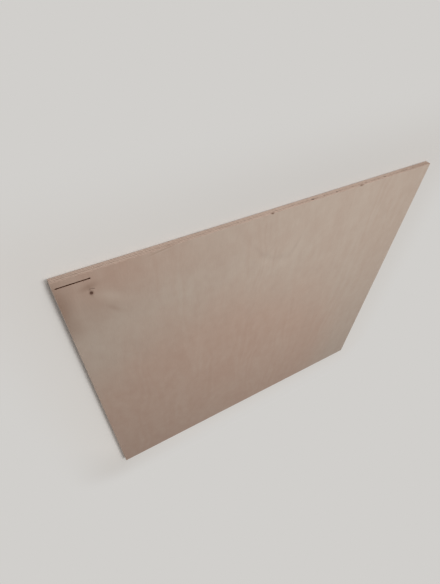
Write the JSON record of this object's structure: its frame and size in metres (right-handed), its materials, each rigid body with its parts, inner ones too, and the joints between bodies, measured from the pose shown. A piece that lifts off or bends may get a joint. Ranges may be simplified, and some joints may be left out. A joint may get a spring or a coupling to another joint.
{
  "type": "plywood sheet",
  "caption": "Flat rectangular offcut of birch-faced plywood with sawn edges, a short saw slit and a small knot near a corner.",
  "frame": {"origin": "middle of the back face, which lies on the floor", "axes": "+Z out of the show face, +X along the upper edge to the right, +Y towards the upper edge, which has the slit beside it"},
  "size_m": [0.625, 0.56, 0.009],
  "materials": {
    "birch_plywood": "sanded and unfinished"
  },
  "bodies": {
    "root": {"plywood_sheet": "birch_plywood"}
  },
  "joints": []
}
